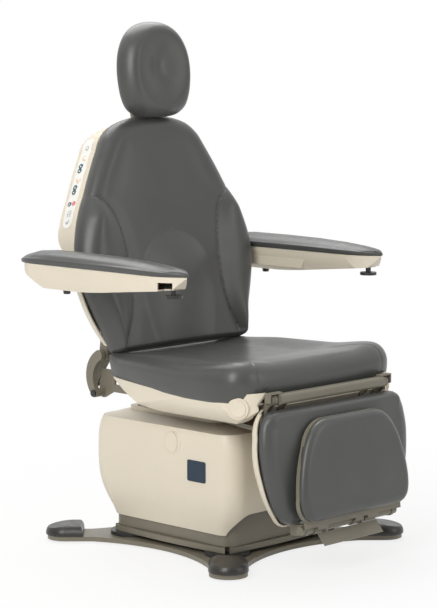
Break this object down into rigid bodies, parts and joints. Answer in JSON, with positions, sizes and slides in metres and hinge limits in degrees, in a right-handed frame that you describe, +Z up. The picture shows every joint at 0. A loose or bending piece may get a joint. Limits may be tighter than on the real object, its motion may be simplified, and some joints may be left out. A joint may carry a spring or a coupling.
{
  "type": "ophthalmic examination chair",
  "caption": "Powered reclining examination chair with headrest, flip-up armrests, leg rest with fold-out foot panel, side keypad and lift column in a shroud on an X-shaped floor plate.",
  "frame": {"origin": "on the floor, on the swivel axis at the middle of the floor plate", "axes": "+Z up, -Y the way the sitter faces, +X towards the sitter's left"},
  "size_m": [0.822, 0.8493, 1.3522],
  "materials": {
    "upholstery": "satin dark grey vinyl over foam",
    "cover_plastic": "satin moulded plastic, beige",
    "frame_paint": "smooth satin paint, olive grey",
    "inner_steel": "plain steel",
    "rod_chrome": "ground and plated",
    "dark_plastic": "moulded plastic, near-black brown",
    "slide_plastic": "low-friction plastic",
    "foot_rubber": "rubber",
    "panel_film": "printed membrane film, off-white",
    "key_blue": "gloss keys, dark blue",
    "key_red": "gloss key, red",
    "badge": "plain dark-blue plaque",
    "board_wood": "plywood"
  },
  "bodies": {
    "base": {"base_plate": "frame_paint", "levelling_glides": "foot_rubber", "foot_covers": "dark_plastic", "bearing_lower_ring": "inner_steel"},
    "turntable": {"bearing_upper_ring": "inner_steel", "swivel_plate": "frame_paint", "slide_pads": "slide_plastic", "lower_skirt": "frame_paint", "base_shroud": "cover_plastic", "side_caps": "cover_plastic", "badge_plate": "badge", "lift_mast": "inner_steel", "lift_actuator": "frame_paint", "control_box": "dark_plastic"},
    "lift_middle": {"middle_sleeve": "inner_steel", "riser_middle": "cover_plastic"},
    "seat": {"seat_sleeve": "inner_steel", "lift_rod": "rod_chrome", "riser_inner": "cover_plastic", "seat_frame": "frame_paint", "front_hinge_bar": "frame_paint", "hinge_brackets": "frame_paint", "pivot_bolts": "dark_plastic", "seat_board": "board_wood", "seat_cushion": "upholstery", "seat_side_covers": "cover_plastic", "pivot_caps": "cover_plastic", "recline_actuator": "frame_paint"},
    "recline_rod": {"recline_rod": "rod_chrome"},
    "sync_links": {"sync_links": "frame_paint"},
    "back": {"back_frame": "frame_paint", "back_shell": "cover_plastic", "back_cushion": "upholstery", "control_pod": "cover_plastic", "keypad_panel": "panel_film"},
    "headrest_post": {"headrest_post": "frame_paint"},
    "headrest_lock": {"headrest_lock": "dark_plastic"},
    "headrest": {"headrest_cap": "cover_plastic", "headrest_cushion": "upholstery"},
    "legrest": {"legrest_frame": "frame_paint", "legrest_shell": "cover_plastic", "legrest_cushion": "upholstery", "foot_hinge_tube": "frame_paint"},
    "foot_panel": {"foot_tray": "frame_paint", "foot_cushion": "upholstery", "foot_pedal": "frame_paint"},
    "recline_key": {"recline_key": "key_blue"},
    "lift_key": {"lift_key": "key_blue"},
    "home_key": {"home_key": "key_blue"},
    "stop_key": {"stop_key": "key_red"},
    "arm_hub_left": {"arm_hub_left": "cover_plastic"},
    "arm_left": {"arm_shell_left": "cover_plastic", "arm_pad_left": "upholstery", "arm_stop_left": "dark_plastic"},
    "arm_lever_left": {"arm_lever_left": "dark_plastic"},
    "arm_hub_right": {"arm_hub_right": "cover_plastic"},
    "arm_right": {"arm_shell_right": "cover_plastic", "arm_pad_right": "upholstery", "arm_stop_right": "dark_plastic"},
    "arm_lever_right": {"arm_lever_right": "dark_plastic"}
  },
  "joints": [
    {"name": "swivel", "type": "hinge", "parent": "base", "child": "turntable", "pos_m": [0, 0, 0.025], "axis": [0, 0, 1], "continuous": true},
    {"name": "lift", "type": "slide", "parent": "turntable", "child": "seat", "axis": [0, 0, 1], "range_m": [0, 0.25]},
    {"name": "lift_middle", "type": "slide", "parent": "turntable", "child": "lift_middle", "axis": [0, 0, 1], "range_m": [0, 0.125]},
    {"name": "recline", "type": "hinge", "parent": "seat", "child": "back", "pos_m": [0, 0.226, 0.489], "axis": [-1, 0, 0], "range_deg": [0, 70]},
    {"name": "legrest_lift", "type": "hinge", "parent": "seat", "child": "legrest", "pos_m": [0, -0.358, 0.435], "axis": [-1, 0, 0], "range_deg": [0, 70]},
    {"name": "sync_pivot", "type": "hinge", "parent": "back", "child": "sync_links", "pos_m": [0, 0.28336, 0.40708], "axis": [-1, 0, 0], "range_deg": [-70, 0]},
    {"name": "recline_stroke", "type": "slide", "parent": "seat", "child": "recline_rod", "axis": [0, -1, 0], "range_m": [0, 0.11476]},
    {"name": "foot_panel_fold", "type": "hinge", "parent": "legrest", "child": "foot_panel", "pos_m": [0, -0.42453, 0.11472], "axis": [1, 0, 0], "range_deg": [0, 92]},
    {"name": "headrest_height", "type": "slide", "parent": "back", "child": "headrest_post", "axis": [0, 0.1908, 0.9816], "range_m": [0, 0.12]},
    {"name": "headrest_tilt", "type": "hinge", "parent": "headrest_post", "child": "headrest", "pos_m": [0, 0.34007, 1.19799], "axis": [1, 0, 0], "range_deg": [-25, 0]},
    {"name": "headrest_lock_turn", "type": "hinge", "parent": "back", "child": "headrest_lock", "pos_m": [0, 0.3325, 0.96515], "axis": [0, 0.9816, -0.1908], "range_deg": [0, 90]},
    {"name": "arm_level_left", "type": "hinge", "parent": "back", "child": "arm_hub_left", "pos_m": [0, 0.24, 0.697], "axis": [-1, 0, 0], "range_deg": [-70, 0]},
    {"name": "arm_flip_left", "type": "hinge", "parent": "arm_hub_left", "child": "arm_left", "pos_m": [0, 0.24, 0.697], "axis": [-1, 0, 0], "range_deg": [0, 95]},
    {"name": "arm_release_left", "type": "slide", "parent": "arm_left", "child": "arm_lever_left", "axis": [0, 0, 1], "range_m": [0, 0.006], "stiffness_N_per_m": 400, "springref_m": -0.006},
    {"name": "arm_level_right", "type": "hinge", "parent": "back", "child": "arm_hub_right", "pos_m": [0, 0.24, 0.697], "axis": [-1, 0, 0], "range_deg": [-70, 0]},
    {"name": "arm_flip_right", "type": "hinge", "parent": "arm_hub_right", "child": "arm_right", "pos_m": [0, 0.24, 0.697], "axis": [-1, 0, 0], "range_deg": [0, 95]},
    {"name": "arm_release_right", "type": "slide", "parent": "arm_right", "child": "arm_lever_right", "axis": [0, 0, 1], "range_m": [0, 0.006], "stiffness_N_per_m": 400, "springref_m": -0.006},
    {"name": "recline_key_rock", "type": "hinge", "parent": "back", "child": "recline_key", "pos_m": [-0.21149, 0.32117, 0.96975], "axis": [0, 0.9816, -0.1908], "range_deg": [-2.4, 2.4], "stiffness_Nm_per_rad": 0.4},
    {"name": "lift_key_rock", "type": "hinge", "parent": "back", "child": "lift_key", "pos_m": [-0.24198, 0.31067, 0.91574], "axis": [0, 0.9816, -0.1908], "range_deg": [-2.4, 2.4], "stiffness_Nm_per_rad": 0.4},
    {"name": "home_key_press", "type": "slide", "parent": "back", "child": "home_key", "axis": [0.8536, -0.0994, -0.5113], "range_m": [0, 0.0006], "stiffness_N_per_m": 800, "springref_m": -0.0005},
    {"name": "stop_key_press", "type": "slide", "parent": "back", "child": "stop_key", "axis": [0.8536, -0.0994, -0.5113], "range_m": [0, 0.0006], "stiffness_N_per_m": 800, "springref_m": -0.0005}
  ],
  "couplings": [
    {"joint": "lift_middle", "follows": "lift", "ratio": 0.5},
    {"joint": "legrest_lift", "follows": "recline", "ratio": 1},
    {"joint": "sync_pivot", "follows": "recline", "ratio": -1},
    {"joint": "recline_stroke", "follows": "recline", "m_per_rad": 0.093896},
    {"joint": "arm_level_left", "follows": "recline", "ratio": -1},
    {"joint": "arm_level_right", "follows": "recline", "ratio": -1}
  ]
}
